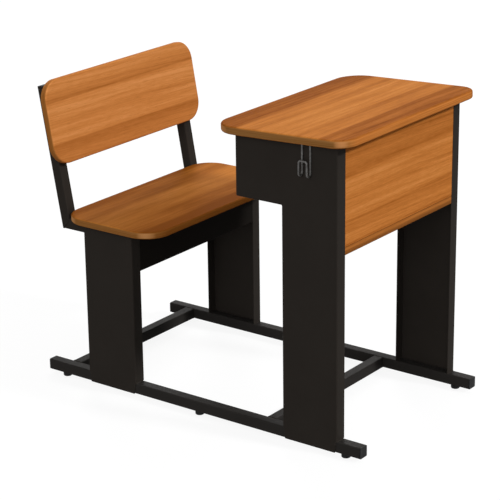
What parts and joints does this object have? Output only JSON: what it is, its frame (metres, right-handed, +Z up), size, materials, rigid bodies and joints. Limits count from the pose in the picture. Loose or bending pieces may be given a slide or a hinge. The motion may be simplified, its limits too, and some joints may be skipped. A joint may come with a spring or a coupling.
{
  "type": "school desk with attached seat",
  "caption": "One-seat school desk and bench seat joined by floor runners, with tilted laminate top, modesty panel, book tray, bag hook and leaning backrest.",
  "frame": {"origin": "on the floor, in the middle of the footprint", "axes": "+Z up; +Y from the desk towards the backrest, so the sitter faces -Y; +X to the sitter's left, so the bag hook is at -X"},
  "size_m": [0.576, 0.9416, 0.7673],
  "materials": {
    "frame_paint": "satin black powder coat",
    "laminate": "satin wood-grain laminate on board",
    "lipping": "satin edge strip",
    "black_plastic": "matte",
    "hook": "dull grey steel rod",
    "screws": "zinc plated"
  },
  "bodies": {
    "root": {"back_post_left": "frame_paint", "back_post_right": "frame_paint", "back_screw_left_lower": "screws", "back_screw_left_upper": "screws", "back_screw_right_lower": "screws", "back_screw_right_upper": "screws", "backrest": "laminate", "bag_hook": "hook", "book_tray": "frame_paint", "cross_rail_front": "frame_paint", "cross_rail_rear": "frame_paint", "desk_cross_tube": "frame_paint", "desk_leg_left": "frame_paint", "desk_leg_right": "frame_paint", "desktop": "laminate", "desktop_screw_left_front": "screws", "desktop_screw_left_rear": "screws", "desktop_screw_right_front": "screws", "desktop_screw_right_rear": "screws", "glide_left_front": "black_plastic", "glide_left_middle": "black_plastic", "glide_left_rear": "black_plastic", "glide_right_front": "black_plastic", "glide_right_middle": "black_plastic", "glide_right_rear": "black_plastic", "modesty_panel": "laminate", "panel_angle_left": "frame_paint", "panel_angle_right": "frame_paint", "panel_lipping": "lipping", "panel_screw_left_lower": "screws", "panel_screw_left_upper": "screws", "panel_screw_right_lower": "screws", "panel_screw_right_upper": "screws", "post_plug_left": "black_plastic", "post_plug_right": "black_plastic", "runner_left": "frame_paint", "runner_plug_left_front": "black_plastic", "runner_plug_left_rear": "black_plastic", "runner_plug_right_front": "black_plastic", "runner_plug_right_rear": "black_plastic", "runner_right": "frame_paint", "seat_apron": "frame_paint", "seat_bar_left": "frame_paint", "seat_bar_right": "frame_paint", "seat_board": "laminate", "seat_cross_tube": "frame_paint", "seat_leg_left": "frame_paint", "seat_leg_right": "frame_paint", "seat_screw_left_front": "screws", "seat_screw_left_rear": "screws", "seat_screw_right_front": "screws", "seat_screw_right_rear": "screws"}
  },
  "joints": []
}
